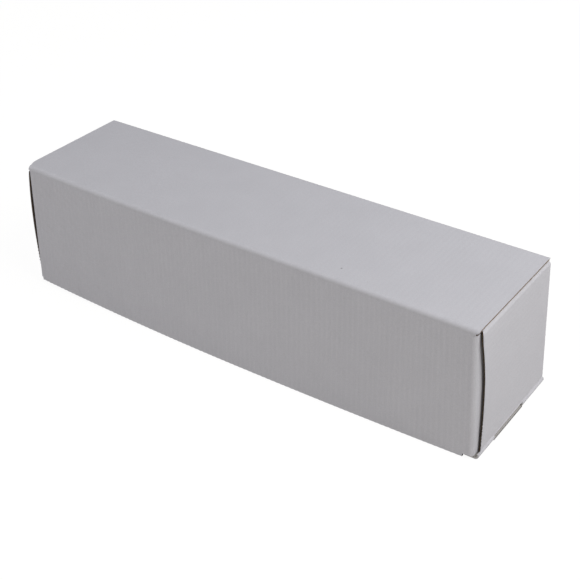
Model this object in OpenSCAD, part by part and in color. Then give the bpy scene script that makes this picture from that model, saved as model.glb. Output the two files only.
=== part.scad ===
// Mailer box: one die-cut sheet of white corrugated board, folded into a tray, a lid and a front flap.
// All sizes are millimetres. X runs along the box, Y from the front flap to the back wall, Z up.
// The floor is Z = 0 and the origin is under the middle of the box.

/* [Box] */
// Outside length, over the beads of the two end folds
box_length = 325; // [260:1:400]
// Outside width, from the front flap's face to the back wall's face
box_width = 82; // [72:1:110]
// Outside height, from the floor to the top of the lid
box_height = 85; // [72:1:110]

/* [Board] */
// Thickness of the corrugated board
board = 1.6; // [1.3:0.1:2.1]
// Inside radius of every fold
crease_r = 0.9; // [0.7:0.1:1.2]
// Gap between two layers that lie against each other
layer_gap = 0.25; // [0.2:0.05:0.4]
// Gap between the lid's underside and the end walls that carry it
lid_gap = 0.3; // [0.2:0.05:0.5]
// Width of the slit that parts the two halves of a moving fold
fold_slit = 0.2; // [0.15:0.05:0.3]

/* [End walls] */
// How far the bead of the bottom fold stands out from the end wall's face
end_bead = 0.6; // [0.3:0.1:0.6]
// Front edge of the end wall, behind the front flap's face
end_setback = 5.5; // [5:0.5:8]
// Back edge of the end wall, in front of the back wall's face
end_back = 1.2; // [1:0.1:2]
// Rounding of the end wall's upper front corner
end_front_r = 3.5; // [2.5:0.5:5]
// Rounding of the end wall's upper back corner
end_back_r = 2.2; // [2:0.1:3]
// Width of the tab that locks the rolled-over panel into the base
tab_width = 31; // [20:1:40]
// Play around the tab in its slot
tab_gap = 0.5; // [0.3:0.1:1]
// How far the tab sits in front of the box's middle
tab_shift = 3; // [-6:1:6]
// How far the slot rises above the base's upper face, into the end wall's foot
slot_rise = 0.7; // [0.4:0.1:1]

/* [Ears] */
// Length of the ears that the front and back walls turn into the end walls
wall_ear = 34; // [22:1:34]
// How much each wall ear narrows towards its tip, at the top and at the foot
ear_taper = 2; // [1:0.5:4]
// Depth of the front flap's ears, from the flap's face to the tip
flap_ear = 26; // [18:1:30]
// Room between a flap ear's edges and what they swing past
ear_room = 0.8; // [0.5:0.1:1.5]
// Length of the relief cut between a wall's foot and its ear
relief = 2; // [1:0.5:4]

/* [Front flap] */
// Gap between the front flap and the front wall behind it
flap_gap = 0.3; // [0.2:0.05:0.6]
// Height of the flap's free edge above the floor
flap_lift = 0.5; // [0.3:0.1:2]
// Height of the step in the free edge at the foot of each ear
foot_step = 2; // [1.5:0.5:4]
// Distance from the end wall's face to that step
foot_end = 8; // [6:0.5:12]
// Drop from the lid's fold to the top of the flap's ears
shoulder_drop = 1.5; // [1:0.5:4]

/* [Hidden] */
$fn = 96;
// Outside radius of every fold
fold_r = board + crease_r;
// Outer face of the end walls
x_face = box_length / 2 - end_bead;
// Outer face of the flap's ears and of the back wall's ears
x_ear = x_face - board - layer_gap;
// Outer face of the front wall's ears
x_wall_ear = x_ear - board - layer_gap;
// Outer and inner faces of the rolled-over panels
x_panel = x_wall_ear - board - layer_gap;
x_inside = x_panel - board;
// End of the bottom folds of the long walls
x_relief = x_wall_ear - fold_r - relief;
// Faces of the box and of the front wall
y_front = -box_width / 2;
y_back = box_width / 2;
y_wall = y_front + board + flap_gap;
// Ends of the bottom fold of each end wall
y_fold0 = y_wall + 0.4;
y_fold1 = y_back - 0.4;
// Edges of the end walls and of the strip that rolls over
y_end0 = y_front + end_setback;
y_end1 = y_back - end_back;
y_roll0 = y_end0 + 1;
y_roll1 = y_back - fold_r - lid_gap;
// Heights of the rolled-over strip, the front wall, the ears and the relief cuts
z_roll = box_height - board - lid_gap;
z_wall = box_height - fold_r - lid_gap;
roll_r = min(fold_r, (x_face - x_inside) / 2);
z_ear = z_roll - roll_r - layer_gap;
z_relief = fold_r + 0.8;
z_slot = board + slot_rise;
z_shoulder = box_height - fold_r - shoulder_drop;
// Where the end wall's flat panel leaves the bead of its bottom fold
bead_angle = acos(1 - end_bead / crease_r);
z_bead = fold_r + crease_r * sin(bead_angle);
// Hinge lines: the middle of each moving fold, on its outer face
hinge_inset = fold_r * (1 - cos(45));
z_hinge = box_height - hinge_inset;
y_lid_hinge = y_back - hinge_inset;
y_flap_hinge = y_front + hinge_inset;
// The flap's ears stay outside the circle that the end wall's corner draws about the lid's hinge,
// and inside the circle about their own hinge that clears the base
lid_swing_r = norm([y_lid_hinge - y_end0, z_hinge - z_roll + roll_r]) + ear_room;
flap_swing_r = z_hinge - board - ear_room;

// Lays a profile drawn in Y and Z along X
module along_x(x0, x1) {
    translate([x0, 0, 0])
        rotate([90, 0, 90])
            linear_extrude(x1 - x0)
                children();
}

// Lays a profile drawn in X and Z along Y
module along_y(y0, y1) {
    translate([0, y1, 0])
        rotate([90, 0, 0])
            linear_extrude(y1 - y0)
                children();
}

// Repeats a shape at the other end of the box
module both_ends() {
    children();
    mirror([1, 0, 0])
        children();
}

// A piece of a rounded fold, from one angle to another
module bend(r, from, to) {
    far = 4 * r;
    step = (to - from) / 3;
    intersection() {
        difference() {
            circle(r);
            circle(r - board);
        }
        polygon([
            [0, 0],
            for (i = [0:3]) [far * cos(from + i * step), far * sin(from + i * step)]
        ]);
    }
}

// Half of a moving fold, cut back by half the slit at its hinge line
module half_bend(from, to, hinge_angle) {
    difference() {
        bend(fold_r, from, to);
        rotate(hinge_angle)
            translate([0, -fold_slit / 2])
                square([2 * fold_r, fold_slit]);
    }
}

// Back wall's share of the lid's fold
module back_wall_top() {
    translate([y_back - fold_r, box_height - fold_r])
        half_bend(0, 45, 45);
}

// Base, front wall and back wall, as they look from the end
module trough_profile() {
    translate([y_wall + fold_r, 0])
        square([y_back - y_wall - 2 * fold_r, board]);
    translate([y_wall + fold_r, fold_r])
        bend(fold_r, 180, 270);
    translate([y_back - fold_r, fold_r])
        bend(fold_r, 270, 360);
    translate([y_wall, fold_r])
        square([board, z_wall - fold_r]);
    translate([y_back - board, fold_r])
        square([board, box_height - 2 * fold_r]);
    back_wall_top();
}

// End of the front wall, with the ear that turns into the end wall
module front_wall_end() {
    along_x(x_relief, x_wall_ear - fold_r)
        translate([y_wall, z_relief])
            square([board, z_wall - z_relief]);
    translate([x_wall_ear - fold_r, y_wall + fold_r, z_relief])
        linear_extrude(z_ear - z_relief)
            bend(fold_r, 270, 360);
    along_x(x_wall_ear - board, x_wall_ear)
        polygon([
            [y_wall + fold_r, z_relief],
            [y_wall + wall_ear, z_relief + ear_taper],
            [y_wall + wall_ear, z_ear - ear_taper],
            [y_wall + fold_r, z_ear]
        ]);
}

// End of the back wall, with its ear and its share of the lid's fold
module back_wall_end() {
    along_x(x_relief, x_ear - fold_r) {
        translate([y_back - board, z_relief])
            square([board, box_height - fold_r - z_relief]);
        back_wall_top();
    }
    translate([x_ear - fold_r, y_back - fold_r, z_relief])
        linear_extrude(z_ear - z_relief)
            bend(fold_r, 0, 90);
    along_x(x_ear - board, x_ear)
        polygon([
            [y_back - fold_r, z_relief],
            [y_back - wall_ear, z_relief + ear_taper],
            [y_back - wall_ear, z_ear - ear_taper],
            [y_back - fold_r, z_ear]
        ]);
}

// End wall's outline, with its two rounded upper corners
module end_outline() {
    middle = (y_end0 + y_end1) / 2;
    translate([y_end0, 0])
        square([middle - y_end0, z_roll - end_front_r]);
    translate([middle, 0])
        square([y_end1 - middle, z_roll - end_back_r]);
    translate([y_end0 + end_front_r, z_roll / 2])
        square([y_end1 - end_back_r - y_end0 - end_front_r, z_roll / 2]);
    translate([y_end0 + end_front_r, z_roll - end_front_r])
        circle(end_front_r);
    translate([y_end1 - end_back_r, z_roll - end_back_r])
        circle(end_back_r);
}

// Outer panel of the end wall and the first bend of the strip that rolls over it
module end_panel() {
    intersection() {
        along_y(y_end0, y_end1) {
            translate([box_length / 2 - fold_r, fold_r])
                bend(fold_r, -90, bead_angle);
            translate([x_face - board, z_bead])
                square([board, z_roll - roll_r - z_bead]);
            translate([x_face - roll_r, z_roll - roll_r])
                bend(roll_r, 0, 90);
        }
        along_x(x_inside, box_length / 2 + 1)
            end_outline();
    }
}

// Strip across the top, its second bend, the inner panel and the tab that locks it
module rolled_panel() {
    along_y(y_roll0 + end_front_r - 1, y_roll1) {
        translate([x_inside + roll_r, z_roll - board])
            square([x_face - x_inside - 2 * roll_r, board]);
        translate([x_inside + roll_r, z_roll - roll_r])
            bend(roll_r, 90, 180);
    }
    along_y(y_roll0, y_roll1)
        translate([x_inside, board + layer_gap])
            square([board, z_roll - roll_r - board - layer_gap]);
    along_y(-tab_shift - tab_width / 2, -tab_shift + tab_width / 2)
        translate([x_inside, 0.2])
            square([board, board + layer_gap]);
}

// End of the base and the bottom fold of the end wall, whose ends stay short of the long walls
module base_end() {
    translate([x_relief - 4, y_wall + fold_r, 0])
        cube([box_length / 2 - fold_r - x_relief + 4, y_back - y_wall - 2 * fold_r, board]);
    translate([x_relief, y_fold0, 0])
        cube([box_length / 2 - fold_r - x_relief, y_fold1 - y_fold0, board]);
    along_y(y_fold0, y_fold1)
        translate([box_length / 2 - fold_r, fold_r])
            bend(fold_r, -90, 20);
}

// Slot in the base and in the end wall's foot, for the locking tab
module tab_slot() {
    width = tab_width + 2 * tab_gap;
    translate([x_inside - tab_gap, -tab_shift - width / 2, -1])
        cube([box_length / 2 + 1 - x_inside + tab_gap, width, 1 + z_slot]);
}

// Base, long walls with their ears, and rolled-over end walls: one folded piece
module tray() {
    color([0.86, 0.86, 0.88]) {
        along_x(-x_relief, x_relief)
            trough_profile();
        both_ends() {
            front_wall_end();
            back_wall_end();
            difference() {
                union() {
                    base_end();
                    end_panel();
                }
                tab_slot();
            }
            rolled_panel();
        }
    }
}

// Lid panel with its shares of the back fold and of the front flap's fold
module lid() {
    color([0.9, 0.9, 0.92])
        along_x(-x_face, x_face) {
            translate([y_front + fold_r, box_height - board])
                square([box_width - 2 * fold_r, board]);
            translate([y_back - fold_r, box_height - fold_r])
                half_bend(45, 90, 45);
            translate([y_front + fold_r, box_height - fold_r])
                half_bend(90, 135, 135);
        }
}

// Outline of a front flap's ear, cut to the swing of the lid and to its own
module flap_ear_outline() {
    difference() {
        intersection() {
            translate([y_front + fold_r, flap_lift + foot_step])
                square([flap_ear - fold_r, z_shoulder - 0.6 - flap_lift - foot_step]);
            translate([y_flap_hinge, z_hinge])
                circle(flap_swing_r);
        }
        translate([y_lid_hinge, z_hinge])
            circle(lid_swing_r);
    }
}

// Flap that hangs from the lid's front edge over the front wall, with its two tucked ears
module front_flap() {
    color([0.82, 0.82, 0.84]) {
        along_x(0.4 - x_face, x_face - 0.4) {
            translate([y_front + fold_r, box_height - fold_r])
                half_bend(135, 180, 135);
            translate([y_front, z_shoulder])
                square([board, box_height - fold_r - z_shoulder]);
        }
        along_x(foot_end - x_face, x_face - foot_end)
            translate([y_front, flap_lift])
                square([board, z_shoulder - flap_lift]);
        along_x(fold_r - x_ear, x_ear - fold_r)
            translate([y_front, flap_lift + foot_step])
                square([board, z_shoulder - flap_lift - foot_step]);
        both_ends() {
            translate([x_ear - fold_r, y_front + fold_r, flap_lift + foot_step])
                linear_extrude(z_shoulder - 0.6 - flap_lift - foot_step)
                    bend(fold_r, 270, 360);
            along_x(x_ear - board, x_ear)
                flap_ear_outline();
        }
    }
}

tray();
lid();
front_flap();
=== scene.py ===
# %% [markdown]
# # A mailer box in corrugated board
# The object is one die-cut sheet of white board, folded into a tray, a lid and a front flap.
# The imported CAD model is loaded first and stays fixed: it gives every size and every hinge.
# Each CAD solid is then replaced by what the board really is: a white liner, a brown liner,
# and a wavy sheet of fluting glued between them, so that every cut edge shows its layers.

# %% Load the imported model
import math

import bmesh
import bpy
import numpy as np
from mathutils import Matrix, Vector


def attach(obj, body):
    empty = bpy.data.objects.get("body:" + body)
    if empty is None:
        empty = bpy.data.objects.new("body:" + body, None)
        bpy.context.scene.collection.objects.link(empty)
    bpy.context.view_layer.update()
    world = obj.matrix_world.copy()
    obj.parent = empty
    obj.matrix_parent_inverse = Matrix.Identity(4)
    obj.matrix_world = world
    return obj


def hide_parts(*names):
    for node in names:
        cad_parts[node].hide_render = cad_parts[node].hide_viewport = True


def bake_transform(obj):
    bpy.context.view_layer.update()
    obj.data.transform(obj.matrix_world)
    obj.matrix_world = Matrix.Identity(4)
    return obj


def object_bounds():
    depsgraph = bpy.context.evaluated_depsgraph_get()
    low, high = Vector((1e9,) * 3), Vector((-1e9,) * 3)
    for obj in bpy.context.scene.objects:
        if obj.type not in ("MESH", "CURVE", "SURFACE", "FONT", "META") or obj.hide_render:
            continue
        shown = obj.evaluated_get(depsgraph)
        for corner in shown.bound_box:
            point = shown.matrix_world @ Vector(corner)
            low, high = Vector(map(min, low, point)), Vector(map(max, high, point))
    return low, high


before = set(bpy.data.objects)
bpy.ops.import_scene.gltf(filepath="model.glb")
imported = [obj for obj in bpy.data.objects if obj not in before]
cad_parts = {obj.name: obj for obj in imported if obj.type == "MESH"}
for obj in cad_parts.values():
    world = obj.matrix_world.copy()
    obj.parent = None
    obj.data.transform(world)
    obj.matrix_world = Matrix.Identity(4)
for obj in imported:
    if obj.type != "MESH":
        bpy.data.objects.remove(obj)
cad_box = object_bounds()
print("nodes:", sorted(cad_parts))
print("CAD box:", [[round(v, 4) for v in corner] for corner in cad_box])

# %% [markdown]
# ## Sizes
# The visual board has to lie where the solids are, so the sizes repeat those of the part's source, here in
# metres. The outer ones are measured from the loaded model, which keeps the two in step. A few follow the
# photograph more closely than the solids do, and a comment says so where they are set.
# A fold is an arc: its outer radius is the board's thickness plus the small radius inside the crease.

# %% Sizes of the box and its board
MM = 0.001
BOARD = 1.6 * MM
CREASE = 0.9 * MM
FOLD = BOARD + CREASE
LAYER_GAP = 0.25 * MM
LID_GAP = 0.3 * MM
FLAP_GAP = 0.3 * MM
BEAD = 0.6 * MM
LINER = 0.28 * MM
PAPER = 0.18 * MM
PITCH = 3.35 * MM
END_FRONT_INSET = 5.5 * MM
END_BACK_INSET = 1.2 * MM
ROLL_INSET = 1 * MM
RELIEF_RUN = 2 * MM
RELIEF_RISE = 0.8 * MM
SHOULDER_DROP = 1.5 * MM

low_corner, high_corner = cad_box
LENGTH = high_corner[0] - low_corner[0]
WIDTH = high_corner[1] - low_corner[1]
HEIGHT = high_corner[2] - low_corner[2]

x_end = LENGTH / 2
x_face = x_end - BEAD
x_ear = x_face - BOARD - LAYER_GAP
x_wall_ear = x_ear - BOARD - LAYER_GAP
x_panel = x_wall_ear - BOARD - LAYER_GAP
x_inside = x_panel - BOARD
x_relief = x_wall_ear - FOLD - RELIEF_RUN
y_front = -WIDTH / 2
y_back = WIDTH / 2
y_wall = y_front + BOARD + FLAP_GAP
y_end0 = y_front + END_FRONT_INSET
y_end1 = y_back - END_BACK_INSET
y_roll0 = y_end0 + ROLL_INSET
y_roll1 = y_back - FOLD - LID_GAP
z_roll = HEIGHT - BOARD - LID_GAP
z_wall = HEIGHT - FOLD - LID_GAP
z_ear = z_roll - FOLD - LAYER_GAP
z_relief = FOLD + RELIEF_RISE
z_shoulder = HEIGHT - FOLD - SHOULDER_DROP
hinge_inset = FOLD * (1 - math.cos(math.radians(45)))
flutes_along = int(2 * x_face / PITCH)
print("box in mm:", [round(v / MM, 1) for v in (LENGTH, WIDTH, HEIGHT)], "flutes along it:", flutes_along)

# %% [markdown]
# ## The sheet as ribbons
# Every panel and fold is a ribbon: a profile of straight runs and arcs, carried along one axis.
# Modelling by hand would need a separate mesh for each panel, and a solidify modifier can't leave the
# hollow between the liners. So one function takes the profile's points with their outward normals and
# lays four skins at set depths: the two faces of the white liner and the two faces of the brown one.
# The liners also carry the washboard that real fluting prints through them: a ripple across the flutes of
# less than a tenth of a millimetre, and about a fifth on the flap, too small for the outline but visible
# as lines.

# %% Profiles: straight runs and arcs
def straight(start, stop, normal, steps):
    """Points from start to stop with one outward normal."""
    rows = []
    for i in range(steps + 1):
        t = i / steps
        u = start[0] + (stop[0] - start[0]) * t
        w = start[1] + (stop[1] - start[1]) * t
        rows.append((u, w, normal[0], normal[1]))
    return rows


def arc(centre, start, stop, steps=8):
    """Points on a fold from one angle to another, in degrees, with the normal pointing outwards."""
    rows = []
    for i in range(steps + 1):
        angle = math.radians(start + (stop - start) * i / steps)
        u_normal = math.cos(angle)
        w_normal = math.sin(angle)
        rows.append((centre[0] + FOLD * u_normal, centre[1] + FOLD * w_normal, u_normal, w_normal))
    return rows


def chain(*runs):
    """One profile from several runs, without the doubled points where they join."""
    rows = list(runs[0])
    for run in runs[1:]:
        rows.extend(run[1:])
    return np.array(rows)


def lengths(profile):
    """Distance along a profile at each of its points."""
    steps = np.hypot(*np.diff(profile[:, :2], axis=0).T)
    return np.concatenate([[0.0], np.cumsum(steps)])


print("a fold of", round(FOLD / MM, 2), "mm has", len(arc((0, 0), 0, 90)), "points")

# %% Blanks that collect ribbons
class Blank:
    """Collects the ribbons of one body until they become one mesh."""

    def __init__(self):
        self.points = []
        self.quads = []
        self.marks = []
        self.count = 0

    def add(self, points, quads, marks):
        self.points.append(points)
        self.quads.append(quads + self.count)
        self.marks.append(marks)
        self.count += len(points)


def skin(n, m):
    """Corner numbers of a grid of n by m points as quads."""
    grid = np.arange(n * m).reshape(n, m)
    return np.stack([grid[:-1, :-1], grid[1:, :-1], grid[1:, 1:], grid[:-1, 1:]], -1).reshape(-1, 4)


def rim(n, m):
    """Corner numbers round the border of a grid of n by m points."""
    grid = np.arange(n * m).reshape(n, m)
    return np.concatenate([grid[:-1, 0], grid[-1, :-1], grid[:0:-1, -1], grid[0, :0:-1]])


print("a grid of 3 by 4 points has", len(skin(3, 4)), "quads and", len(rim(3, 4)), "border points")

# %% [markdown]
# A die presses the board thinner where it cuts, so the layout of a ribbon also gives the thickness at each
# point: a quarter less at a cut, back to the full board within a few millimetres.

# %% Layout of a ribbon
PRESSED = 0.25
PRESS_REACH = 1.2 * MM
EDGE_PLACES = np.array([0, 0.4, 0.9, 1.5, 2.5, 4.5]) * MM


def spans(profile, span):
    """Where the ribbon starts and stops along its axis at each point of its profile."""
    if callable(span):
        return np.array([span(u, w) for u, w in profile[:, :2]])
    return np.array([span] * len(profile))


def edge_steps(length, steps):
    """Shares of a length that lie closer together near both ends."""
    near = EDGE_PLACES / length
    middle = np.linspace(near[-1], 1 - near[-1], steps)[1:-1]
    return np.concatenate([near, middle, 1 - near[::-1]])


def lay_out(profile, span, steps, flutes, cuts, inset=0.0):
    """Places along the axis, distances across the flutes and board thickness at each point of a ribbon."""
    share = np.linspace(0, 1, steps + 1) if isinstance(steps, int) else steps
    reach = spans(profile, span)
    low = reach[:, :1] + inset
    high = reach[:, 1:] - inset
    axis = low + (high - low) * share[None, :]
    run = np.repeat(lengths(profile)[:, None], len(share), 1)
    away = {
        "low": axis - reach[:, :1],
        "high": reach[:, 1:] - axis,
        "start": run,
        "end": run[-1:] - run,
    }
    board = np.full(axis.shape, BOARD)
    for cut in cuts:
        board = np.minimum(board, BOARD * (1 - PRESSED * np.exp(-np.abs(away[cut]) / PRESS_REACH)))
    across = axis if flutes == "axis" else run
    return axis, across, board


def in_yz(u, w, axis):
    """A profile in Y and Z, carried along X."""
    return np.stack([axis, u, w], -1)


def in_xy(u, w, axis):
    """A profile in X and Y, carried along Z."""
    return np.stack([u, w, axis], -1)


def in_xz(u, w, axis):
    """A profile in X and Z, carried along Y."""
    return np.stack([u, axis, w], -1)


print("a cut edge is", round(BOARD * (1 - PRESSED) / MM, 2), "mm thick")

# %% [markdown]
# The ribbon itself lays the four skins, closes each liner round its border, and marks every face with the
# paper that shows there: white outside, brown within, a dark cut edge with painted shade, or a scuffed grey.

# %% Ribbons: four skins along one axis
RIPPLE = 0.06 * MM
# The third paper is the dark cut-edge colour, which is partly painted shade.
WHITE, BROWN, CUT_AND_PAINTED_SHADE, SCUFFED = 0, 1, 2, 3
MIRROR = np.array([-1, 1, 1])


def ribbon(
    blank, profile, span, steps, place, flutes="axis", mirrored=False, cuts=(),
    ripple=None, inside=BROWN, crushed=False, edge_colour=CUT_AND_PAINTED_SHADE,
):
    """Adds both liners of one panel or fold. flutes names the direction that crosses the flutes. A crushed
    fold has no hollow left between its liners."""
    axis, across, board = lay_out(profile, span, steps, flutes, cuts)
    n, m = axis.shape
    depth = ripple(axis) if ripple else RIPPLE
    sunk = depth * (np.cos(2 * np.pi * across / PITCH) - 1) / 2
    skins = []
    paper = board / 2 if crushed else LINER + 0 * board
    for out in (sunk, -paper, paper - board, -board - sunk):
        u = profile[:, 0, None] + profile[:, 2, None] * out
        w = profile[:, 1, None] + profile[:, 3, None] * out
        skins.append(place(u, w, axis).reshape(-1, 3))
    if mirrored:
        skins = [points * MIRROR for points in skins]
    face = skin(n, m)
    edge = rim(n, m)
    turn = np.roll(edge, -1)
    wall = np.stack([edge, turn, turn + n * m, edge + n * m], 1)
    quads = np.concatenate([face, face + n * m, wall])
    outer_colours = (WHITE, BROWN, WHITE)
    inner_colours = (BROWN, inside, edge_colour)
    for front, back, colours in ((0, 1, outer_colours), (2, 3, inner_colours)):
        marks = np.repeat(colours, (len(face), len(face), len(wall)))
        blank.add(np.concatenate([skins[front], skins[back]]), quads, marks)


print("the liners ripple by", RIPPLE / MM, "mm")

# %% From ribbons to pieces
SHARP_ANGLE = math.radians(40)


def show(name, mesh, sharp_angle):
    """A smooth piece at the origin, with its edges sharp beyond an angle."""
    mesh.polygons.foreach_set("use_smooth", np.ones(len(mesh.polygons), dtype=bool))
    mesh.set_sharp_from_angle(angle=sharp_angle)
    piece = bpy.data.objects.new(name, mesh)
    bpy.context.scene.collection.objects.link(piece)
    print(name, len(mesh.polygons), "faces")
    return piece


def blank_to_piece(name, blank, materials, settle):
    """Turns the collected ribbons into one piece with its faces pointing out, after the board has settled
    into its real shape."""
    points = settle(np.concatenate(blank.points))
    mesh = bpy.data.meshes.new(name)
    mesh.from_pydata(points.tolist(), [], np.concatenate(blank.quads).tolist())
    for material in materials:
        mesh.materials.append(material)
    mesh.polygons.foreach_set("material_index", np.concatenate(blank.marks).astype(np.int32))
    work = bmesh.new()
    work.from_mesh(mesh)
    bmesh.ops.recalc_face_normals(work, faces=work.faces)
    work.to_mesh(mesh)
    work.free()
    return show(name, mesh, SHARP_ANGLE)


print("edges sharper than", round(math.degrees(SHARP_ANGLE)), "degrees stay sharp")

# %% [markdown]
# ## Board materials
# The outside of the board is a white paper liner: matt, a little cool, with faint clouds where the paper is
# thinner and a fine tooth from its fibres. The inside and the fluting are brown kraft paper, with longer
# fibres and darker flecks. A cut edge is darker: partly the edge's own colour and partly painted shade, and
# the same dark colour is painted as shade on the hidden inside of the end walls' outer panel. Crushed board
# is scuffed to a pale grey. All of it is procedural and reads Object coordinates, so the paper keeps its
# grain when a flap turns. One dark speck sits on the lid, as on the real box.

# %% Node helpers
def node(tree, kind, place, feeds=None, **settings):
    """A node with its settings, its inputs filled with values or joined to the outputs of other nodes."""
    made = tree.nodes.new(kind)
    made.location = place
    for key, value in settings.items():
        setattr(made, key, value)
    for key, value in (feeds or {}).items():
        if isinstance(value, bpy.types.NodeSocket):
            tree.links.new(value, made.inputs[key])
        else:
            made.inputs[key].default_value = value
    return made


def calculate(tree, operation, place, *values):
    """A math node on numbers or the outputs of other nodes."""
    return node(tree, "ShaderNodeMath", place, dict(enumerate(values)), operation=operation).outputs[0]


def linear(red, green, blue):
    """An sRGB colour of 0 to 255 as the linear values that a shader takes."""
    out = []
    for value in (red, green, blue):
        v = value / 255
        out.append(v / 12.92 if v <= 0.04045 else ((v + 0.055) / 1.055) ** 2.4)
    return tuple(out)


print("white liner in linear light:", [round(v, 3) for v in linear(203, 202, 206)])

# %% Paper helpers
ALONG_X = (0.4, 1, 1)
ALONG_Y = (1, 0.4, 1)
NO_GRAIN = (1, 1, 1)
MATT_SPECULAR = 0.14
TOOTH_DEPTH = 0.1 * MM


def paper_material(name):
    """A new material with its principled shader, and Object coordinates to read from."""
    material = bpy.data.materials.new(name)
    material.use_nodes = True
    tree = material.node_tree
    shader = tree.nodes["Principled BSDF"]
    where = node(tree, "ShaderNodeTexCoord", (-1400, 0))
    return material, tree, shader, where.outputs["Object"]


def noise(tree, where, place, scale, detail, roughness, stretch=NO_GRAIN):
    """Noise at a scale per metre, stretched along the axes where the paper has a direction."""
    turn = node(tree, "ShaderNodeMapping", (place[0] - 200, place[1]), {"Vector": where, "Scale": stretch})
    feeds = {"Vector": turn.outputs["Vector"], "Scale": scale, "Detail": detail, "Roughness": roughness}
    return node(tree, "ShaderNodeTexNoise", place, feeds).outputs["Fac"]


def ramp(tree, value, place, first, last):
    """A colour ramp between two stops, each a position and a colour."""
    made = node(tree, "ShaderNodeValToRGB", place, {"Fac": value})
    for i, (position, colour) in enumerate((first, last)):
        made.color_ramp.elements[i].position = position
        made.color_ramp.elements[i].color = (*colour, 1)
    return made.outputs["Color"]


def mix(tree, kind, share, first, second, place):
    """Mixes two colours. The share and the colours are values or the outputs of other nodes."""
    feeds = {"Factor": share, 6: first, 7: second}
    return node(tree, "ShaderNodeMix", place, feeds, data_type="RGBA", blend_type=kind).outputs[2]


def join_paper(tree, shader, colour, rough, fibres, strength):
    """Joins a paper's colour, its roughness and the tooth of its fibres to the shader."""
    tree.links.new(colour, shader.inputs["Base Color"])
    tree.links.new(rough, shader.inputs["Roughness"])
    shader.inputs["Specular IOR Level"].default_value = MATT_SPECULAR
    feeds = {"Strength": strength, "Distance": TOOTH_DEPTH, "Height": fibres}
    tooth = node(tree, "ShaderNodeBump", (-200, -500), feeds)
    tree.links.new(tooth.outputs["Normal"], shader.inputs["Normal"])


print("the papers' tooth is", round(TOOTH_DEPTH / MM, 2), "mm deep")

# %% White liner
SPECK = (0.0701, -0.02995, HEIGHT)
SPECK_CORE = 0.3 * MM
SPECK_RIM = 0.7 * MM
SPECK_DARKNESS = 0.55
SPECK_COLOUR = (*linear(70, 66, 62), 1)


def make_white_liner():
    """Matt white paper with clouds, fibres and one speck."""
    material, tree, shader, where = paper_material("white_liner")
    clouds = noise(tree, where, (-1000, 400), 55, 3.0, 0.5)
    cloudy = ramp(tree, clouds, (-800, 400), (0.3, linear(202, 201, 205)), (0.7, linear(205, 204, 208)))
    fibres = noise(tree, where, (-1000, 100), 1400, 5.0, 0.7)
    fine = ramp(tree, fibres, (-800, 100), (0.3, linear(243, 243, 243)), (0.62, linear(255, 255, 255)))
    paper = mix(tree, "MULTIPLY", 1.0, cloudy, fine, (-500, 300))
    flecks = noise(tree, where, (-1000, -200), 700, 2.0, 0.4)
    dark = ramp(tree, flecks, (-800, -200), (0.79, (1, 1, 1)), (0.82, linear(234, 231, 228)))
    paper = mix(tree, "MULTIPLY", 1.0, paper, dark, (-300, 200))
    apart = node(tree, "ShaderNodeVectorMath", (-1000, -500), {0: where, 1: SPECK}, operation="DISTANCE")
    near = node(tree, "ShaderNodeMapRange", (-800, -500), {
        "Value": apart.outputs["Value"],
        "From Min": SPECK_CORE,
        "From Max": SPECK_RIM,
        "To Min": SPECK_DARKNESS,
        "To Max": 0.0,
    })
    paper = mix(tree, "MIX", near.outputs["Result"], paper, SPECK_COLOUR, (-100, 100))
    rough = ramp(tree, clouds, (-500, -100), (0.3, (0.68, 0.68, 0.68)), (0.7, (0.8, 0.8, 0.8)))
    join_paper(tree, shader, paper, rough, fibres, 0.12)
    return material


white_liner = make_white_liner()
print("made", white_liner.name)

# %% Brown liner, fluting, cut edges and scuffed board
def make_kraft_paper(name, pale, dark, stretch):
    """Kraft paper: fibres, long in one direction where it is stretched, darker flecks and a coarse tooth."""
    material, tree, shader, where = paper_material(name)
    fibres = noise(tree, where, (-1000, 300), 900, 6.0, 0.75, stretch)
    base = ramp(tree, fibres, (-800, 300), (0.3, linear(*dark)), (0.7, linear(*pale)))
    clouds = noise(tree, where, (-1000, 0), 35, 3.0, 0.5)
    shade = ramp(tree, clouds, (-800, 0), (0.3, linear(242, 242, 242)), (0.7, linear(255, 255, 255)))
    paper = mix(tree, "MULTIPLY", 1.0, base, shade, (-500, 200))
    flecks = noise(tree, where, (-1000, -300), 1300, 2.0, 0.5, stretch)
    spots = ramp(tree, flecks, (-800, -300), (0.66, (1, 1, 1)), (0.74, linear(190, 176, 160)))
    paper = mix(tree, "MULTIPLY", 1.0, paper, spots, (-300, 100))
    rough = ramp(tree, fibres, (-500, -200), (0.3, (0.78, 0.78, 0.78)), (0.7, (0.9, 0.9, 0.9)))
    join_paper(tree, shader, paper, rough, fibres, 0.2)
    return material


brown_liner = make_kraft_paper("brown_liner", (168, 142, 113), (148, 123, 96), ALONG_X)
fluting_paper = make_kraft_paper("fluting_paper", (104, 91, 77), (82, 71, 60), ALONG_Y)
# The cut edge's dark colour is partly painted shade, and it is also painted as shade inside the end walls.
cut_edge_and_painted_shade = make_kraft_paper("cut_edge_and_painted_shade", (88, 79, 71), (70, 63, 56), NO_GRAIN)
scuffed_paper = make_kraft_paper("scuffed_paper", (192, 189, 185), (174, 171, 167), NO_GRAIN)
liner_papers = [white_liner, brown_liner, cut_edge_and_painted_shade, scuffed_paper]
print("made", [paper.name for paper in (brown_liner, fluting_paper, cut_edge_and_painted_shade, scuffed_paper)])

# %% [markdown]
# ## The fluting
# Between the liners runs a wavy sheet, about a hundred waves along the box. A hand-made mesh for each panel
# would repeat the same rule many times, so a node tree holds the rule: it takes flat patches that lie in the
# middle of the board, reads how far each point is across the flutes, pushes it out by a sine of that
# distance, and gives the paper its thickness. Pitch and paper thickness are its named inputs; the height of
# the wave comes with each point, because the board is pressed thinner where the die cut it.

# %% Node tree for the wavy sheet
WELD = 0.000002


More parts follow.
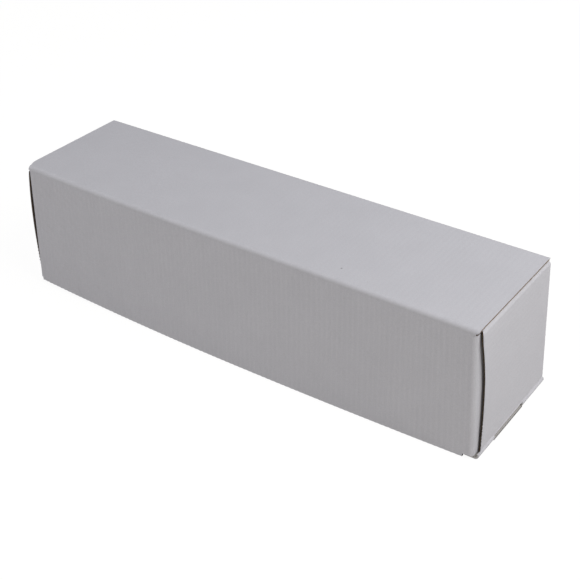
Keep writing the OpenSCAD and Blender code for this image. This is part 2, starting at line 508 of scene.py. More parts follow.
def fluting_tree():
    """Turns flat patches into corrugated paper."""
    tree = bpy.data.node_groups.new("fluting", "GeometryNodeTree")
    face = tree.interface
    face.new_socket("Geometry", in_out="INPUT", socket_type="NodeSocketGeometry")
    for name in ("Pitch", "Paper Thickness"):
        face.new_socket(name, in_out="INPUT", socket_type="NodeSocketFloat")
    face.new_socket("Paper", in_out="INPUT", socket_type="NodeSocketMaterial")
    face.new_socket("Geometry", in_out="OUTPUT", socket_type="NodeSocketGeometry")
    given = node(tree, "NodeGroupInput", (-1200, 0)).outputs
    across = node(tree, "GeometryNodeInputNamedAttribute", (-1200, -300), {"Name": "across"})
    tall = node(tree, "GeometryNodeInputNamedAttribute", (-1200, -500), {"Name": "wave_height"})
    waves = calculate(tree, "DIVIDE", (-1000, -200), across.outputs["Attribute"], given["Pitch"])
    turn = calculate(tree, "MULTIPLY", (-850, -200), waves, 2 * math.pi)
    sine = calculate(tree, "SINE", (-700, -200), turn)
    half = calculate(tree, "MULTIPLY", (-700, -400), tall.outputs["Attribute"], 0.5)
    sunk = calculate(tree, "MULTIPLY", (-700, -500), given["Paper Thickness"], -0.5)
    height = calculate(tree, "MULTIPLY_ADD", (-550, -200), sine, half, sunk)
    normal = node(tree, "GeometryNodeInputNormal", (-700, -600)).outputs["Normal"]
    scales = {0: normal, "Scale": height}
    push = node(tree, "ShaderNodeVectorMath", (-400, -300), scales, operation="SCALE")
    moves = {"Geometry": given["Geometry"], "Offset": push.outputs["Vector"]}
    bent = node(tree, "GeometryNodeSetPosition", (-200, 0), moves).outputs["Geometry"]
    grows = {"Mesh": bent, "Offset Scale": given["Paper Thickness"], "Individual": False}
    thick = node(tree, "GeometryNodeExtrudeMesh", (0, 100), grows, mode="FACES")
    under = node(tree, "GeometryNodeFlipFaces", (0, -200), {"Mesh": bent})
    both = node(tree, "GeometryNodeJoinGeometry", (200, 0))
    for side in (thick, under):
        tree.links.new(side.outputs["Mesh"], both.inputs["Geometry"])
    welds = {"Geometry": both.outputs["Geometry"], "Distance": WELD}
    closed = node(tree, "GeometryNodeMergeByDistance", (350, 0), welds)
    real = node(tree, "GeometryNodeRealizeInstances", (500, 0), {"Geometry": closed.outputs["Geometry"]})
    paints = {"Geometry": real.outputs["Geometry"], "Material": given["Paper"]}
    painted = node(tree, "GeometryNodeSetMaterial", (650, 0), paints)
    node(tree, "NodeGroupOutput", (800, 0), {"Geometry": painted.outputs["Geometry"]})
    return tree


corrugate = fluting_tree()
print("fluting tree has", len(corrugate.nodes), "nodes")

# %% Patches for the wavy sheet
POINTS_PER_WAVE = 8
FLUTE_SHARP_ANGLE = math.radians(60)


class Patches:
    """Flat patches in the middle of the board, each point knowing how far it is across the flutes."""

    def __init__(self):
        self.points = []
        self.quads = []
        self.across = []
        self.height = []
        self.count = 0


def patch(patches, profile, span, steps, place, flutes="axis", mirrored=False, cuts=(), inset=0.0):
    """Adds the middle layer of one straight panel."""
    axis, across, board = lay_out(profile, span, steps, flutes, cuts, inset)
    n, m = axis.shape
    u = profile[:, 0, None] - profile[:, 2, None] * board / 2
    w = profile[:, 1, None] - profile[:, 3, None] * board / 2
    points = place(u, w, axis).reshape(-1, 3)
    if mirrored:
        points = points * MIRROR
    patches.points.append(points)
    patches.quads.append(skin(n, m) + patches.count)
    patches.across.append(across.reshape(-1))
    patches.height.append((board - 2 * LINER - PAPER).reshape(-1))
    patches.count += len(points)


def flute_steps(length):
    """Enough steps for a smooth wave over this length."""
    return max(4, int(round(POINTS_PER_WAVE * length / PITCH)))


def patches_to_piece(name, patches, settle):
    """Runs the node tree over the patches and keeps its result as a plain mesh."""
    points = settle(np.concatenate(patches.points))
    mesh = bpy.data.meshes.new(name + "_flat")
    mesh.from_pydata(points.tolist(), [], np.concatenate(patches.quads).tolist())
    for label, values in (("across", patches.across), ("wave_height", patches.height)):
        mesh.attributes.new(label, "FLOAT", "POINT").data.foreach_set("value", np.concatenate(values))
    flat = bpy.data.objects.new(name + "_flat", mesh)
    bpy.context.scene.collection.objects.link(flat)
    modifier = flat.modifiers.new("fluting", "NODES")
    modifier.node_group = corrugate
    wanted = {"Pitch": PITCH, "Paper Thickness": PAPER, "Paper": fluting_paper}
    for socket in corrugate.interface.items_tree:
        if socket.in_out == "INPUT" and socket.name in wanted:
            modifier[socket.identifier] = wanted[socket.name]
    shaped = flat.evaluated_get(bpy.context.evaluated_depsgraph_get())
    result = bpy.data.meshes.new_from_object(shaped)
    flat.modifiers.remove(modifier)
    bpy.data.objects.remove(flat)
    result.name = name
    return show(name, result, FLUTE_SHARP_ANGLE)


print("a flute takes", POINTS_PER_WAVE, "points, 100 mm take", flute_steps(100 * MM), "steps")

# %% [markdown]
# ## How the board settles
# A folded box is never quite square. On this one the front flap is held only by its ears, so its free lower
# edge bows out in the middle; each end wall is pushed out along its front edge by the ear behind it; both
# ends lean in towards the lid; and the lid's near left corner stands proud. The ribbons are built flat, where
# sizes are easy to check, and then moved by the rules below. Their amounts are fitted to the photograph.

# %% Rules for both ends
RIGHT_LEAN = 2.6 * MM
LEFT_LEAN = 3.3 * MM
LEFT_SPREAD = 0.8 * MM
LEAN_START = 95 * MM
RIGHT_PUSH = 1.3 * MM
LEFT_PUSH = 2.4 * MM
PUSH_REACH = 45 * MM
PUSH_SKEW = 1.15
PUSH_FULLNESS = 0.7


def lean_in(points):
    """The ends lean in towards the top, and the left one also stands out at its foot."""
    moved = points.copy()
    t = np.clip((np.abs(points[:, 0]) - LEAN_START) / (x_relief - LEAN_START), 0, 1)
    rise = points[:, 2] / HEIGHT
    depth = np.where(points[:, 0] > 0, -RIGHT_LEAN * rise, LEFT_LEAN * rise - LEFT_SPREAD * (1 - rise))
    moved[:, 0] += depth * t * t * (3 - 2 * t)
    return moved


def push_out(points):
    """How far the board at an end stands out: most at mid-height and along the wall's front edge."""
    rise = np.clip((points[:, 2] - FOLD) / (z_roll - FOLD), 0, 1)
    back = np.clip((points[:, 1] - y_end0) / PUSH_REACH, 0, 1)
    depth = np.where(points[:, 0] > 0, RIGHT_PUSH, -LEFT_PUSH)
    return depth * np.sin(np.pi * rise ** PUSH_SKEW) ** PUSH_FULLNESS * (1 - back) ** 2


print("the ends lean in by", RIGHT_LEAN / MM, "and", LEFT_LEAN / MM, "mm")

# %% Rules for the lid, the flap and the tray
CORNER_LIFT = 2.4 * MM
LIFT_FADE = 1.6 * MM
FLAP_BOW = 3.3 * MM
BOW_POWER = 1.3
LEFT_FOOT = 1.6 * MM
LEFT_DRAW = 0.8 * MM
EAR_SHARE = 0.85
EAR_START = 1 * MM
WALL_MARGIN = 0.1 * MM


def left_share(points):
    """Nought from the middle of the box to its right end, rising to one at the left."""
    return np.clip(-points[:, 0] / x_ear, 0, 1) ** 2


def settle_lid(points):
    """The lid's near left corner stands a little proud, as if the ear below it weren't pushed right home."""
    moved = lean_in(points)
    front = np.clip((y_back - FOLD - points[:, 1]) / (WIDTH - 2 * FOLD), 0, 1)
    moved[:, 2] += CORNER_LIFT * left_share(points) * front
    return moved


def settle_flap(points):
    """The flap's free edge bows out between its ears, its left end is drawn in and lifted with the lid, and
    the ears lean out against the end walls but stay where they are tucked."""
    moved = points.copy()
    drop = np.clip((HEIGHT - FOLD - points[:, 2]) / (HEIGHT - FOLD), 0, 1)
    along = np.clip(1 - (points[:, 0] / (x_ear - FOLD)) ** 2, 0, 1)
    left = np.clip(0.5 - points[:, 0] / (2 * x_ear), 0, 1)
    moved[:, 1] -= FLAP_BOW * along * drop ** BOW_POWER + LEFT_FOOT * left ** 2 * drop
    lean = np.clip((points[:, 1] - y_front - EAR_START) / (y_end0 - y_front), 0, 1)
    ear = np.abs(points[:, 0]) > x_ear - FOLD
    tucked = np.clip((points[:, 1] - y_front - BOARD) / LIFT_FADE, 0, 1)
    drawn = np.clip((-points[:, 0] - LEAN_START) / (x_ear - LEAN_START), 0, 1) ** 2
    moved[:, 0] += LEFT_DRAW * drawn * (1 - tucked)
    moved[:, 0] += np.where(ear, EAR_SHARE * lean * push_out(points), 0)
    moved = lean_in(moved)
    moved[:, 2] += CORNER_LIFT * left_share(points) * (1 - tucked)
    return moved


def settle_tray(points):
    """The end walls' front edges are pushed out by the flap's ears."""
    moved = points.copy()
    outer = np.abs(points[:, 0]) > x_face - BOARD - WALL_MARGIN
    moved[:, 0] += np.where(outer, push_out(points), 0)
    return lean_in(moved)


print("the flap bows by", FLAP_BOW / MM, "mm and the lid's corner rises by", CORNER_LIFT / MM, "mm")

# %% [markdown]
# ## The tray
# Base, front wall and back wall are one trough. Near each end the long walls turn in as ears, and the end
# walls come up from the base, roll over the ears and lock into the base with a tab. The trough's flutes run
# from front to back, so its ripple is counted along X; on the end walls it is counted along the profile.

# %% Trough: base and long walls
TOP_RUN = 3 * MM
tray = Blank()
tray_patches = Patches()
trough_steps = 4 * int(2 * x_relief / PITCH)
trough = chain(
    straight((y_wall, z_wall), (y_wall, z_wall - TOP_RUN), (-1, 0), 4),
    straight((y_wall, z_wall - TOP_RUN), (y_wall, FOLD), (-1, 0), 1),
    arc((y_wall + FOLD, FOLD), 180, 270, 6),
    straight((y_wall + FOLD, 0), (y_back - FOLD, 0), (0, -1), 2),
    arc((y_back - FOLD, FOLD), 270, 360, 6),
    straight((y_back, FOLD), (y_back, HEIGHT - FOLD), (1, 0), 2),
)
ribbon(tray, trough, (-x_relief, x_relief), trough_steps, in_yz, cuts=("start",))
wall_run = chain(
    straight((y_wall, z_wall), (y_wall, z_wall - TOP_RUN), (-1, 0), 3),
    straight((y_wall, z_wall - TOP_RUN), (y_wall, FOLD), (-1, 0), 1),
)
base_run = np.array(straight((y_wall + FOLD, 0), (y_back - FOLD, 0), (0, -1), 1))
back_run = np.array(straight((y_back, FOLD), (y_back, HEIGHT - FOLD), (1, 0), 1))
for run, cuts in ((wall_run, ("start",)), (base_run, ()), (back_run, ())):
    patch(tray_patches, run, (-x_relief, x_relief), flute_steps(2 * x_relief), in_yz, cuts=cuts)
print("trough of", len(trough), "profile points and", trough_steps, "steps")

# %% Ends of the long walls, with their ears
WALL_EAR = 34 * MM
EAR_TAPER = 2 * MM


def wall_ear_span(root, tip):
    """Foot and top of a wall's ear, which narrows towards its tip."""
    def span(u, w):
        share = min(max((w - root) / (tip - root), 0), 1)
        return z_relief + EAR_TAPER * share, z_ear - EAR_TAPER * share
    return span


def wall_end(mirrored):
    """Both long walls beyond the trough, at one end of the box."""
    front = np.array(straight((x_relief, y_wall), (x_wall_ear - FOLD, y_wall), (0, -1), 4))
    ribbon(tray, front, (z_relief, z_wall), 2, in_xy, "profile", mirrored)
    back = np.array(straight((x_relief, y_back), (x_ear - FOLD, y_back), (0, 1), 4))
    ribbon(tray, back, (z_relief, HEIGHT - FOLD), 2, in_xy, "profile", mirrored)
    front_tip = y_wall + WALL_EAR
    back_tip = y_back - WALL_EAR
    ear_steps = int(4 * WALL_EAR / PITCH)
    front_flat = straight((x_wall_ear, y_wall + FOLD), (x_wall_ear, front_tip), (1, 0), ear_steps)
    front_ear = chain(arc((x_wall_ear - FOLD, y_wall + FOLD), -90, 0), front_flat)
    back_flat = straight((x_ear, y_back - FOLD), (x_ear, back_tip), (1, 0), ear_steps)
    back_ear = chain(arc((x_ear - FOLD, y_back - FOLD), 90, 0), back_flat)
    for ear, flat, root, tip in (
        (front_ear, front_flat, y_wall + FOLD, front_tip),
        (back_ear, back_flat, y_back - FOLD, back_tip),
    ):
        span = wall_ear_span(root, tip)
        cuts = ("low", "high", "end")
        steps = edge_steps(z_ear - z_relief, 3)
        ribbon(tray, ear, span, steps, in_xy, "profile", mirrored, cuts)
        fine = np.array(straight(flat[0][:2], flat[-1][:2], (1, 0), flute_steps(WALL_EAR)))
        patch(tray_patches, fine, span, steps, in_xy, "profile", mirrored, cuts)


for mirrored in (False, True):
    wall_end(mirrored)
print("four wall ears of", WALL_EAR / MM, "mm")

# %% [markdown]
# The end wall's profile starts at the base, goes round a fold that stands a little proud of the wall, climbs
# to the lid, turns over a strip wide enough for the layers inside, and comes down again to the base. Its
# width changes on the way: the wall stops short of the flap, its upper corners are rounded, and the tab is
# less than half as wide.

# %% Edges of the end walls
# The two corners are sharper than the solid's 3.5 and 2.2 mm, and the front edge reaches further, as in the
# photograph.
END_FRONT_R = 2.6 * MM
END_BACK_R = 1.0 * MM
LEFT_REACH = 2.6 * MM
TOP_REACH = 2.2 * MM
TOP_REACH_START = 0.5
TOP_REACH_RUN = 0.4
# Depth, waves in radians per metre and start of each row of tears.
TEARS = ((0.26 * MM, 2600, 0), (0.18 * MM, 4300, 1))
TEAR_HEIGHT = 16 * MM
TEAR_SPREAD = 9 * MM


def ragged(z):
    """Small tears low on the wall's cut front edge."""
    tear = sum(depth * math.sin(z * waves + start) for depth, waves, start in TEARS)
    return tear * math.exp(-(((z - TEAR_HEIGHT) / TEAR_SPREAD) ** 2))


def end_span(mirrored):
    """Front and back edges of an end wall at a height. The front edge reaches towards the flap, on the left
    all the way up and on the right only near the top."""
    def span(u, z):
        if mirrored:
            edge = y_end0 - LEFT_REACH
        else:
            share = min(max(z / z_roll - TOP_REACH_START, 0) / TOP_REACH_RUN, 1)
            edge = y_end0 - TOP_REACH * share ** 2
        front = edge + ragged(z)
        back = y_end1
        rise = z - (z_roll - END_FRONT_R)
        if rise > 0:
            front = edge + END_FRONT_R - math.sqrt(max(END_FRONT_R ** 2 - rise ** 2, 0))
        rise = z - (z_roll - END_BACK_R)
        if rise > 0:
            back = y_end1 - END_BACK_R + math.sqrt(max(END_BACK_R ** 2 - rise ** 2, 0))
        return front, back

    return span


print("right wall's edges at mid-height:", [round(y / MM, 1) for y in end_span(False)(0, HEIGHT / 2)])

# %% Foot of the end walls
# The tab is wider than the solid's 31 mm, as the strip in the photograph is.
TAB_WIDTH = 34 * MM
TAB_SHIFT = -3 * MM
SLOT_PLAY = 0.2 * MM
FOLD_INSET = 0.4 * MM
BEAD_TURN = 34
# The fold is closed where the slot ends, so that no dark hole shows beside the tab.
PLUG_BACK = 2.9 * MM
PLUG_FRONT = 0.35 * MM
PLUG_TOP = 3.4 * MM
PLUG_OUT = 0.9 * MM
PLUG_IN = 0.6 * MM
tab0 = TAB_SHIFT - TAB_WIDTH / 2
tab1 = TAB_SHIFT + TAB_WIDTH / 2
slot0 = tab0 - SLOT_PLAY
slot1 = tab1 + SLOT_PLAY
y_fold0 = y_wall + FOLD_INSET
y_fold1 = y_back - FOLD_INSET


def crushed_fold(profile, span, steps, mirrored, cuts=()):
    """A part of the foot's fold, pressed flat between its liners and scuffed."""
    ribbon(
        tray, profile, span, steps, in_xz, "profile", mirrored, cuts,
        inside=SCUFFED, crushed=True, edge_colour=SCUFFED,
    )


def wall_foot(mirrored):
    """The fold at the foot of an end wall, on both sides of its slot, and the base behind the slot."""
    foot = chain(
        straight((x_relief, 0), (x_end - FOLD, 0), (0, -1), 4),
        arc((x_end - FOLD, FOLD), -90, BEAD_TURN, 12),
    )
    # On the left the fold starts where the wall does.
    front = y_end0 if mirrored else y_fold0
    for start, stop in ((front, slot0), (slot1, y_fold1)):
        crushed_fold(foot, (start, stop), edge_steps(stop - start, 3), mirrored, ("low", "high"))
    plug = np.array(straight((x_end - PLUG_BACK, PLUG_TOP), (x_end - PLUG_FRONT, PLUG_TOP), (0, 1), 2))
    crushed_fold(plug, (slot1 - PLUG_OUT, slot1 + PLUG_IN), 1, mirrored)
    behind_slot = np.array(straight((x_relief, 0), (x_inside - SLOT_PLAY, 0), (0, -1), 2))
    ribbon(tray, behind_slot, (slot0, slot1), 4, in_xz, "profile", mirrored, ("end",))


print("slot from", round(slot0 / MM, 1), "to", round(slot1 / MM, 1), "mm across the end")

# %% End walls that roll over
EASE = 1.6 * MM
FLUTING_INSET = 0.1 * MM
FLUTING_FOOT = 2 * MM
TAB_LIFT = 0.05 * MM
tab_turn = FOLD + TAB_LIFT
wall_top = z_roll - FOLD


def eased_wall(steps):
    """From the bead of the fold back to the flat of the wall, on a smooth cubic curve."""
    turn = math.radians(BEAD_TURN)
    start = (x_end - FOLD + FOLD * math.cos(turn), FOLD + FOLD * math.sin(turn))
    stop = (x_face, start[1] + EASE)
    slope = -math.tan(turn) * (stop[1] - start[1])
    rows = []
    for i in range(steps + 1):
        t = i / steps
        h00 = 2 * t ** 3 - 3 * t ** 2 + 1
        h10 = t ** 3 - 2 * t ** 2 + t
        h01 = 3 * t ** 2 - 2 * t ** 3
        x = h00 * start[0] + h10 * slope + h01 * stop[0]
        z = start[1] + (stop[1] - start[1]) * t
        d00 = 6 * t ** 2 - 6 * t
        d10 = 3 * t ** 2 - 4 * t + 1
        dx = (d00 * start[0] + d10 * slope - d00 * stop[0]) / (stop[1] - start[1])
        size = math.hypot(1, dx)
        rows.append((x, z, 1 / size, -dx / size))
    return rows


def end_wall(mirrored):
    """One end wall, from its foot over the top and down to the base inside."""
    wall_foot(mirrored)
    wall_steps = int(6 * (wall_top - FOLD) / PITCH)
    eased = eased_wall(6)
    outer = chain(
        eased,
        straight((x_face, eased[-1][1]), (x_face, wall_top), (1, 0), wall_steps),
        arc((x_face - FOLD, wall_top), 0, 90, 10),
    )
    cuts = ("low", "high")
    steps = edge_steps(y_end1 - y_end0, 8)
    # The hidden inside of this outer panel takes the dark cut-edge colour as painted shade, which darkens the
    # gap behind the flap's ear.
    ribbon(tray, outer, end_span(mirrored), steps, in_xz, "profile", mirrored, cuts, inside=CUT_AND_PAINTED_SHADE)
    strip = chain(
        straight((x_face - FOLD, z_roll), (x_inside + FOLD, z_roll), (0, 1), 2),
        arc((x_inside + FOLD, wall_top), 90, 180),
    )
    strip_start = y_roll0 + END_FRONT_R - ROLL_INSET
    ribbon(tray, strip, (strip_start, y_roll1), steps, in_xz, "profile", mirrored, cuts)
    inner = np.array(straight((x_inside, wall_top), (x_inside, tab_turn), (-1, 0), wall_steps))
    ribbon(tray, inner, (y_roll0, y_roll1), steps, in_xz, "profile", mirrored, cuts)
    inner_foot = np.array(straight((x_inside, tab_turn), (x_inside, BOARD + LAYER_GAP), (-1, 0), 2))
    for start, stop in ((y_roll0, tab0), (tab1, y_roll1)):
        ribbon(tray, inner_foot, (start, stop), 2, in_xz, "profile", mirrored)
    waves = flute_steps(wall_top - FOLD)
    outer_flat = straight((x_face, FOLD + FLUTING_FOOT), (x_face, wall_top), (1, 0), waves)
    inner_flat = straight((x_inside, wall_top), (x_inside, tab_turn), (-1, 0), waves)
    for flat, span in ((outer_flat, end_span(mirrored)), (inner_flat, (y_roll0, y_roll1))):
        patch(tray_patches, np.array(flat), span, steps, in_xz, "profile", mirrored, cuts, FLUTING_INSET)


print("the walls roll over at", round(z_roll / MM, 1), "mm")

# %% [markdown]
# The locking tab is the last of the end wall's panel: it turns out at the foot and pokes through the slot,
# where its crushed, scuffed face shows as a grey strip. With it both ends are complete, and the tray becomes
# two pieces.

# %% Locking tabs and the finished tray
TAB_END_ANGLE = 270.5
TAB_SHORT = 0.45 * MM


def locking_tab(mirrored):
    """The tab at the foot of the inner panel, pushed out through the slot in the fold."""
    turn = arc((x_inside + FOLD, tab_turn), 180, TAB_END_ANGLE, 10)
    slope = math.tan(math.radians(TAB_END_ANGLE - 270))
    start = turn[-1][:2]
    stop_x = x_end - TAB_SHORT
    stop = (stop_x, start[1] + slope * (stop_x - start[0]))
    tab = chain(turn, straight(start, stop, turn[-1][2:], 6))
    ribbon(
        tray, tab, (tab0, tab1), 4, in_xz, "profile", mirrored, ("end",),
        inside=SCUFFED, crushed=True,
    )


for mirrored in (False, True):
    end_wall(mirrored)
    locking_tab(mirrored)
tray_liners = blank_to_piece("tray_liners", tray, liner_papers, settle_tray)
tray_fluting = patches_to_piece("tray_fluting", tray_patches, settle_tray)

# %% [markdown]
# ## The lid and the front flap
# The lid is one panel between two moving folds. The front flap hangs from its front fold and ends in two
# ears. The upper edge of an ear follows the circle that the end wall's corner draws round the lid's hinge,
# and its lower edge follows the circle round its own hinge, which is how a die maker lets it swing free.

# %% Lid panel
lid = Blank()
lid_patches = Patches()
lid_steps = 6 * flutes_along
LID_RIGHT_INSET = 0.4 * MM
# The left end is shorter than the solid's, as in the photograph.
LID_LEFT_INSET = 1.7 * MM
SOFT_CORNER = 1.6 * MM
SOFT_REACH = 6 * MM
LID_FLUTING_INSET = 1 * MM
x_right = x_face - LID_RIGHT_INSET
x_left = LID_LEFT_INSET - x_face
lid_start = y_front + FOLD
lid_panel = chain(
    straight((lid_start, HEIGHT), (lid_start + SOFT_REACH, HEIGHT), (0, 1), 4),
    straight((lid_start + SOFT_REACH, HEIGHT), (y_back - FOLD, HEIGHT), (0, 1), 4),
)
ends = ("low", "high")


def lid_span(u, w):
    """Left and right ends of the lid, with its worn near left corner."""
    return x_left + SOFT_CORNER * max(1 - (u - lid_start) / SOFT_REACH, 0) ** 2, x_right


# The line under the lid's ends is grey in the photograph, not brown.
ribbon(lid, lid_panel, lid_span, lid_steps, in_yz, cuts=ends, edge_colour=SCUFFED)
waves = flute_steps(2 * x_right)
patch(lid_patches, lid_panel, lid_span, waves, in_yz, cuts=ends, inset=LID_FLUTING_INSET)
lid_liners = blank_to_piece("lid_liners", lid, liner_papers, settle_lid)
lid_fluting = patches_to_piece("lid_fluting", lid_patches, settle_lid)

# %% Front flap panel
FLAP_RIPPLE = 0.2 * MM
RIPPLE_TREND = 0.35
FLAP_LIFT = 0.5 * MM
FOOT_STEP = 2 * MM
FOOT_END = 8 * MM
SHOULDER_LEFT_INSET = 1.2 * MM
SHOULDER_RIGHT_INSET = 0.6 * MM
x_shoulder_left = SHOULDER_LEFT_INSET - x_ear
x_shoulder_right = x_ear - SHOULDER_RIGHT_INSET
flap = Blank()
flap_patches = Patches()


def flap_ripple(x):
    """The washboard on the flap is a little deeper towards the left."""
    return FLAP_RIPPLE * (1 - RIPPLE_TREND * x / x_ear)


flap_zones = (
    (HEIGHT - FOLD, z_shoulder, -x_shoulder_left, x_shoulder_right, 1, ()),
    (z_shoulder, FLAP_LIFT + FOOT_STEP, x_ear - FOLD, x_ear - FOLD, 10, ()),
    (FLAP_LIFT + FOOT_STEP, FLAP_LIFT, x_ear - FOLD, x_face - FOOT_END, 4, ("end",)),
)
for top, foot, left, right, rows, cuts in flap_zones:
    zone = np.array(straight((y_front, top), (y_front, foot), (-1, 0), rows))
    steps = int(6 * (left + right) / PITCH)
    ribbon(flap, zone, (-left, right), steps, in_yz, cuts=cuts, ripple=flap_ripple)
    patch(flap_patches, zone, (-left, right), flute_steps(left + right), in_yz, cuts=cuts)
print("flap panel in", len(flap_zones), "zones")

# %% Front flap ears
FLAP_EAR = 26 * MM
EAR_ROOM = 0.8 * MM
EAR_TOP_GAP = 0.15 * MM
z_hinge = HEIGHT - hinge_inset
y_lid_hinge = y_back - hinge_inset
y_flap_hinge = y_front + hinge_inset
lid_swing = math.hypot(y_lid_hinge - y_end0, z_hinge - z_roll + FOLD) + EAR_ROOM
flap_swing = z_hinge - BOARD - EAR_ROOM


def flap_ear_span(u, w):
    """Foot and top of the ear at a distance behind the flap."""
    foot = FLAP_LIFT + FOOT_STEP
    foot = max(foot, z_hinge - math.sqrt(max(flap_swing ** 2 - (w - y_flap_hinge) ** 2, 0)))
    top = z_shoulder - EAR_TOP_GAP
    reach = lid_swing ** 2 - (y_lid_hinge - w) ** 2
    if reach > 0 and w > y_front + FOLD:
        top = min(top, z_hinge - math.sqrt(reach))
    return foot, top


def flap_end(mirrored):
    """The fold and the ear at one end of the flap."""
    tip = y_front + FLAP_EAR
    ear_steps = int(6 * FLAP_EAR / PITCH)
    flat = straight((x_ear, y_front + FOLD), (x_ear, tip), (1, 0), ear_steps)
    ear = chain(arc((x_ear - FOLD, y_front + FOLD), -90, 0), flat)
    cuts = ("low", "high", "end")
    steps = edge_steps(z_shoulder, 4)
    ribbon(flap, ear, flap_ear_span, steps, in_xy, "profile", mirrored, cuts)
    fine = np.array(straight((x_ear, y_front + FOLD), (x_ear, tip), (1, 0), flute_steps(FLAP_EAR)))
    patch(flap_patches, fine, flap_ear_span, steps, in_xy, "profile", mirrored, cuts)


for mirrored in (False, True):
    flap_end(mirrored)
flap_liners = blank_to_piece("flap_liners", flap, liner_papers, settle_flap)
flap_fluting = patches_to_piece("flap_fluting", flap_patches, settle_flap)

# %% [markdown]
# ## The two moving folds
# The lid and the flap are the same sheet as the tray, so each fold is a strip of board of its own, attached
# to neither body. A strip that rode on one side only would tear open at the hinge.

# %% Hinge strips
def hinge_strip(name, centre, start, stop, top_left, left, right):
    """The rounded strip of board at a moving fold, drawn in from the lid's ends to the panel below."""
    def span(u, w):
        drop = min(max((HEIGHT - w) / FOLD, 0), 1)
        share = math.sqrt(1 - drop ** 2)
        return (top_left - left) * share + left, (x_right - right) * share + right

    strip = Blank()
    profile = np.array(arc(centre, start, stop, 9))
    ribbon(strip, profile, span, lid_steps, in_yz, cuts=("low", "high"))
    return blank_to_piece(name, strip, liner_papers, settle_lid)


back_centre = (y_back - FOLD, HEIGHT - FOLD)
front_centre = (y_front + FOLD, HEIGHT - FOLD)
x_corner = x_left + SOFT_CORNER
lid_fold = hinge_strip("lid_fold", back_centre, 0, 90, x_left, FOLD - x_ear, x_ear - FOLD)
flap_fold = hinge_strip("flap_fold", front_centre, 90, 180, x_corner, x_shoulder_left, x_shoulder_right)

# %% Pieces to bodies
riders = (
    (tray_liners, "tray"),
    (tray_fluting, "tray"),
    (lid_liners, "lid"),
    (lid_fluting, "lid"),
    (flap_liners, "front_flap"),
    (flap_fluting, "front_flap"),
)
for piece, body in riders:
    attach(piece, body)
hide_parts("tray")
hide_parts("lid")
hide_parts("front_flap")
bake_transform(lid_fold)
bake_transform(flap_fold)
print(len(riders), "pieces ride and two bend")

# %% [markdown]
# ## Floor, light and camera
# The photograph is a plain studio picture on white: soft light from the upper right, and two weaker fills
# from the front. The floor and the world look white where they are seen, straight or in a reflection, but
# light the box only as far as their own settings say, and the floor keeps a faint shadow. The camera is set
# from the box's own edges, so its place, lens and small roll are plain numbers.

# %% Floor and world
FLOOR_REACH = 30.0
FLOOR_COLOUR = (0.5, 0.48, 0.45, 1)
FLOOR_GLOW = 1.16
GLOW_SHARE = 0.82
WORLD_COLOUR = (0.98, 0.985, 1.03, 1)
WORLD_STRENGTH = 0.355


def direct_rays(tree, place):
    """One for rays seen straight, in a reflection or through a clear piece, and nought for the light."""
    path = node(tree, "ShaderNodeLightPath", place).outputs
    seen = calculate(tree, "MAXIMUM", (place[0] + 150, 300), path["Is Camera Ray"], path["Is Glossy Ray"])
    return calculate(tree, "MAXIMUM", (place[0] + 300, 300), seen, path["Is Transmission Ray"])


def make_floor():
    """A large pale floor that is seen as white, with a little of its shadow left in."""
    mesh = bpy.data.meshes.new("studio_floor")
    corners = [(FLOOR_REACH * x, FLOOR_REACH * y, 0) for x, y in ((-1, -1), (1, -1), (1, 1), (-1, 1))]
    mesh.from_pydata(corners, [], [(0, 1, 2, 3)])
    floor = bpy.data.objects.new("studio_floor", mesh)
    bpy.context.scene.collection.objects.link(floor)
    material = bpy.data.materials.new("studio_paper")
    material.use_nodes = True
    tree = material.node_tree
    tree.nodes.clear()
    matt = node(tree, "ShaderNodeBsdfDiffuse", (-400, 100), {"Color": FLOOR_COLOUR}).outputs[0]
    glow = node(tree, "ShaderNodeEmission", (-400, -100), {"Strength": FLOOR_GLOW}).outputs[0]
    share = calculate(tree, "MULTIPLY", (-400, 300), direct_rays(tree, (-800, 300)), GLOW_SHARE)
    blend = node(tree, "ShaderNodeMixShader", (-150, 0), {"Fac": share, 1: matt, 2: glow})
    node(tree, "ShaderNodeOutputMaterial", (50, 0), {"Surface": blend.outputs[0]})
    mesh.materials.append(material)


def make_world():
    """Even light all round, which is seen as white."""
    world = bpy.data.worlds.new("studio_world")
    bpy.context.scene.world = world
    world.use_nodes = True
    tree = world.node_tree
    back = tree.nodes["Background"]
    back.inputs["Color"].default_value = WORLD_COLOUR
    feeds = {"Value": direct_rays(tree, (-600, 200)), "To Min": WORLD_STRENGTH, "To Max": 1.0}
    level = node(tree, "ShaderNodeMapRange", (-300, 200), feeds)
    tree.links.new(level.outputs["Result"], back.inputs["Strength"])


make_floor()
make_world()
print("floor and world ready")

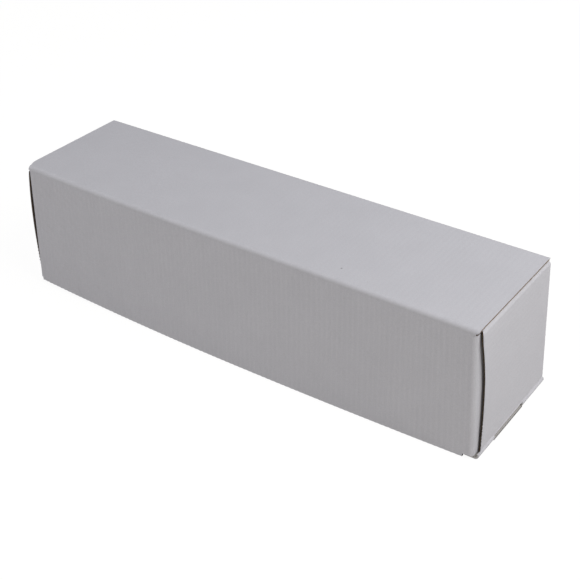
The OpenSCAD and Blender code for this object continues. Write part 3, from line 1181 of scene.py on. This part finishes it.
# %% Lights
def area_light(name, place, target, size, power, colour=(1, 1, 1)):
    """A soft square lamp aimed at a point."""
    data = bpy.data.lights.new(name, "AREA")
    data.size = size
    data.energy = power
    data.color = colour
    lamp = bpy.data.objects.new(name, data)
    lamp.location = place
    aim = Vector(target) - Vector(place)
    lamp.rotation_euler = aim.to_track_quat("-Z", "Y").to_euler()
    bpy.context.scene.collection.objects.link(lamp)


area_light("key_light", (0.78, 0.04, 0.86), (0, 0, 0.05), 0.7, 8.0)
area_light("front_fill", (-0.6, -1.25, 0.28), (-0.05, 0, 0.05), 0.9, 4.25, (0.97, 1.0, 1.06))
area_light("warm_fill", (0.3, -1.2, 0.16), (0.08, 0, 0.04), 0.6, 0.95, (1.0, 0.86, 0.6))
print("three soft lamps")

# %% Camera
AZIMUTH = math.radians(36.485)
ELEVATION = math.radians(34.185)
ROLL = math.radians(-2.094)
DISTANCE = 0.74477
ASIDE = 0.00968
ABOVE = 0.02312
FOCAL_PIXELS = 1198.5
PICTURE_PIXELS = 580
SENSOR = 36

out_axis = Vector((
    math.sin(AZIMUTH) * math.cos(ELEVATION),
    -math.cos(AZIMUTH) * math.cos(ELEVATION),
    math.sin(ELEVATION),
))
level_right = Vector((math.cos(AZIMUTH), math.sin(AZIMUTH), 0))
level_up = out_axis.cross(level_right)
right_axis = math.cos(ROLL) * level_right + math.sin(ROLL) * level_up
up_axis = -math.sin(ROLL) * level_right + math.cos(ROLL) * level_up
camera_data = bpy.data.cameras.new("camera")
camera_data.sensor_width = SENSOR
camera_data.sensor_fit = "HORIZONTAL"
camera_data.lens = SENSOR * FOCAL_PIXELS / PICTURE_PIXELS
camera = bpy.data.objects.new("camera", camera_data)
turned = Matrix((right_axis, up_axis, out_axis)).transposed().to_4x4()
turned.translation = out_axis * DISTANCE + right_axis * ASIDE + up_axis * ABOVE
camera.matrix_world = turned
bpy.context.scene.collection.objects.link(camera)
bpy.context.scene.camera = camera
bpy.context.scene.view_settings.view_transform = "Standard"
print("camera lens", round(camera_data.lens, 1), "mm at", [round(v, 3) for v in turned.translation])
